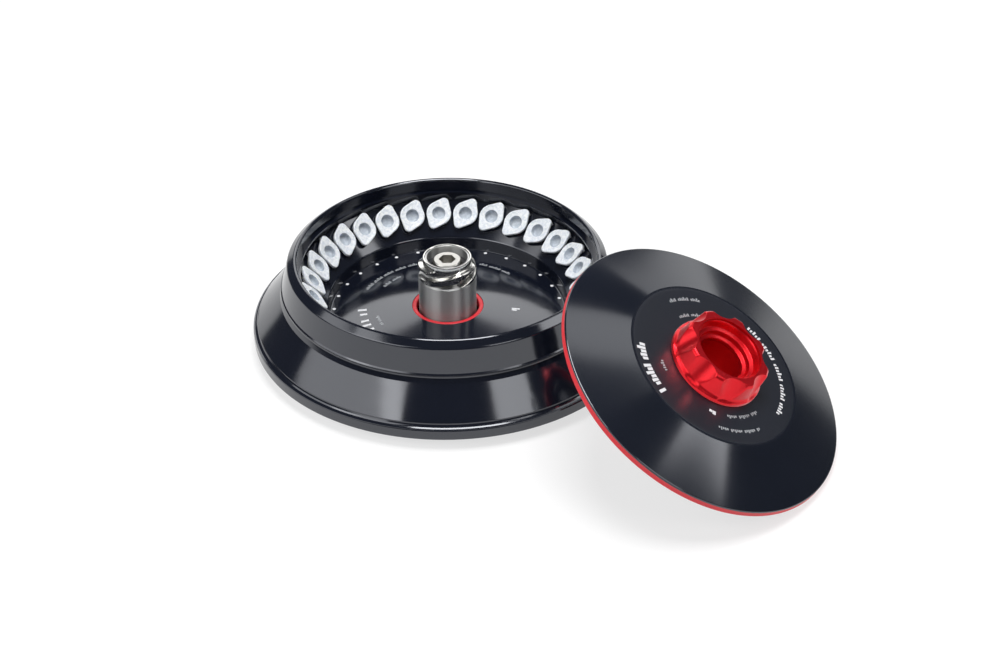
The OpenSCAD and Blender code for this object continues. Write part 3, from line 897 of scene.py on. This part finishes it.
def add_rotor_marks():
    """A dot for each tube, and rows of bars in place of the words in the bowl."""
    piece = joined("place_dots", [dot_parts(k) for k in range(PLACES)])
    add_piece(piece, WHITE_INK, "rotor", "cap_plastic")

    bold = bowl_row(radius=44, from_deg=179, to_deg=214, tall=4.6, tick=2.0, gap_share=0.22)
    bold += bowl_row(radius=35, from_deg=-6, to_deg=-2, tall=4.0, gap_share=0.1, tick=1.4)
    add_piece(joined("rotor_marks_bold", bold), WHITE_INK, "rotor", "cap_plastic")

    small = bowl_row(radius=46.5, from_deg=112, to_deg=159, tall=2.2)
    small += bowl_row(radius=39.3, from_deg=131, to_deg=150, tall=2.0)
    small += bowl_row(radius=46, from_deg=46, to_deg=70, tall=2.0)
    small += bowl_row(radius=37, from_deg=193, to_deg=207, tall=1.8)
    add_piece(joined("rotor_marks_small", small), GREY_INK, "rotor", "cap_plastic")


def add_lid_marks():
    """Rows of bars in place of the words on the lid's flat middle."""
    height = span_along_lid("lid_plate")[1] + MARK_CLEAR
    bold = tick_row(radius=40.6, from_deg=-146, to_deg=-106, tall=4.6, height=height,
                    tick=2.0, gap_share=0.22)
    bold += tick_row(radius=37.8, from_deg=3, to_deg=87, tall=2.6, height=height, tick=1.7)
    bold += tick_row(radius=30, from_deg=-70, to_deg=-63, tall=2.2, height=height, tick=1.4, gap_share=0.1)
    piece = joined("lid_marks_bold", [(v, f, LID) for v, f, _ in bold])
    add_piece(piece, WHITE_INK, "lid", "cap_plastic")

    small = tick_row(radius=31, from_deg=-133, to_deg=-119, tall=1.8, height=height)
    small += tick_row(radius=37.8, from_deg=129, to_deg=158, tall=2.0, height=height)
    small += tick_row(radius=28.5, from_deg=133, to_deg=160, tall=1.8, height=height)
    small += tick_row(radius=29.6, from_deg=-51, to_deg=-13, tall=1.8, height=height)
    small += tick_row(radius=37.5, from_deg=-61, to_deg=-23, tall=1.8, height=height)
    piece = joined("lid_marks_small", [(v, f, LID) for v, f, _ in small])
    add_piece(piece, GREY_INK, "lid", "cap_plastic")


# ---------------------------------------------------------------- CAD nodes that stay

CAD_MATERIALS = {
    "rotor_body": BLACK_ROTOR,
    "hub": HUB_STEEL,
    "hub_seal_ring": RED_RUBBER,
    "lid_seat_ring": BLACK_ROTOR,
    "hub_screws": DARK_STEEL,
    "rotor_nut": NUT_STEEL,
    "nut_spring_washer": DARK_STEEL,
    "nut_retaining_ring": DARK_STEEL,
    "lid_plate": BLACK_LID,
    "lid_edge_seal": RED_RUBBER,
    "lid_bush": BRONZE,
    "lid_bush_gasket": RED_RUBBER,
    "lock_sleeve": SLEEVE_METAL,
    "lock_pins": DARK_STEEL,
    "knob_dowels": DARK_STEEL,
    "sleeve_wave_washer": DARK_STEEL,
    "sleeve_circlip": DARK_STEEL,
}


def dress_cad_nodes():
    """Gives each CAD node that stays in view its material and smooth shading."""
    for name, material in CAD_MATERIALS.items():
        node = frame["nodes"][name]
        give(node, material)
        node.data.shade_smooth()
        node.data.set_sharp_from_angle(angle=math.radians(CAD_SMOOTH_DEG))


# ---------------------------------------------------------------- floor and light

FLOOR_HALF = 14             # metres
FLOOR_DROP = 0.0003
FLOOR_GREY = 0.32
FLOOR_GLOW = 0.68
AIM = Vector((0.03, -0.03, 0.03))
LIGHT_DISTANCE = 1.6
WORLD_COLOUR = (0.85, 0.9, 1.0, 1)
WORLD_STRENGTH = 0.07

# places on the lid's cone, in its own frame, where single lights have to show
LID_FRONT = LID @ Vector((0.020, -0.054, 0.005))
LID_LEFT = LID @ Vector((-0.045, -0.038, 0.005))
LID_BACK = LID @ Vector((-0.030, 0.050, 0.005))

# the strip light has to show in the skirt, where these parts of the lying lid would cover it
NOT_IN_REFLECTIONS = ("lid_plate", "lid_edge_seal", "lid_bush", "lid_bush_gasket")


def add_floor():
    """A white sweep that glows a little, so that the object's shadow stays faint."""
    material, _, shader = new_material("floor_white")
    shader.inputs["Base Color"].default_value = (FLOOR_GREY, FLOOR_GREY, FLOOR_GREY, 1)
    shader.inputs["Roughness"].default_value = 0.7
    shader.inputs["Specular IOR Level"].default_value = 0.0
    shader.inputs["Emission Color"].default_value = (1, 1, 1, 1)
    shader.inputs["Emission Strength"].default_value = FLOOR_GLOW
    mesh = bpy.data.meshes.new("floor")
    corners = [(-1, -1, 0), (1, -1, 0), (1, 1, 0), (-1, 1, 0)]
    mesh.from_pydata([Vector(c) * FLOOR_HALF for c in corners], [], [(0, 1, 2, 3)])
    floor = bpy.data.objects.new("floor", mesh)
    floor.location.z = -FLOOR_DROP
    bpy.context.scene.collection.objects.link(floor)
    floor.data.materials.append(material)


def add_box_light(name, azimuth, elevation, wide, tall, radiance, aim=AIM):
    """A soft box seen from aim at this azimuth and elevation, with its angular size in degrees."""
    a = math.radians(azimuth)
    e = math.radians(elevation)
    direction = Vector((math.cos(e) * math.cos(a), math.cos(e) * math.sin(a), math.sin(e)))
    data = bpy.data.lights.new(name, "AREA")
    data.shape = "RECTANGLE"
    data.size = 2 * LIGHT_DISTANCE * math.tan(math.radians(wide / 2))
    data.size_y = 2 * LIGHT_DISTANCE * math.tan(math.radians(tall / 2))
    data.energy = radiance * math.pi * data.size * data.size_y
    light = bpy.data.objects.new(name, data)
    light.location = aim + direction * LIGHT_DISTANCE
    light.rotation_euler = direction.to_track_quat("Z", "Y").to_euler()
    bpy.context.scene.collection.objects.link(light)


def add_world():
    world = bpy.data.worlds.new("studio")
    world.use_nodes = True
    background = world.node_tree.nodes["Background"]
    background.inputs["Color"].default_value = WORLD_COLOUR
    background.inputs["Strength"].default_value = WORLD_STRENGTH
    bpy.context.scene.world = world


def add_lights():
    """Soft boxes, each one the cause of a bright patch on the skirt, the lid or the hub."""
    add_box_light("left_box", azimuth=-156, elevation=32, wide=58, tall=24, radiance=1.9)
    add_box_light("left_core", azimuth=-142, elevation=44, wide=36, tall=16, radiance=2.4)
    add_box_light("front_strip", azimuth=-48, elevation=41, wide=20, tall=17, radiance=3.2)
    add_box_light("right_box", azimuth=7, elevation=41, wide=15, tall=17, radiance=3.2, aim=LID_FRONT)
    add_box_light("top_box", azimuth=40, elevation=56, wide=28, tall=13, radiance=1.5, aim=LID_LEFT)
    add_box_light("back_glow", azimuth=60, elevation=20, wide=14, tall=28, radiance=1.0, aim=LID_BACK)
    add_box_light("back_box", azimuth=98, elevation=27, wide=52, tall=24, radiance=2.0)
    add_box_light("overhead", azimuth=0, elevation=88, wide=28, tall=28, radiance=11.0)
    for name in NOT_IN_REFLECTIONS:
        frame["nodes"][name].visible_glossy = False


add_camera()
add_floor()
add_world()
add_lights()
dress_cad_nodes()
add_free_tubes()
add_fixed_tubes()
add_thread()
add_knob()
add_rotor_marks()
add_lid_marks()
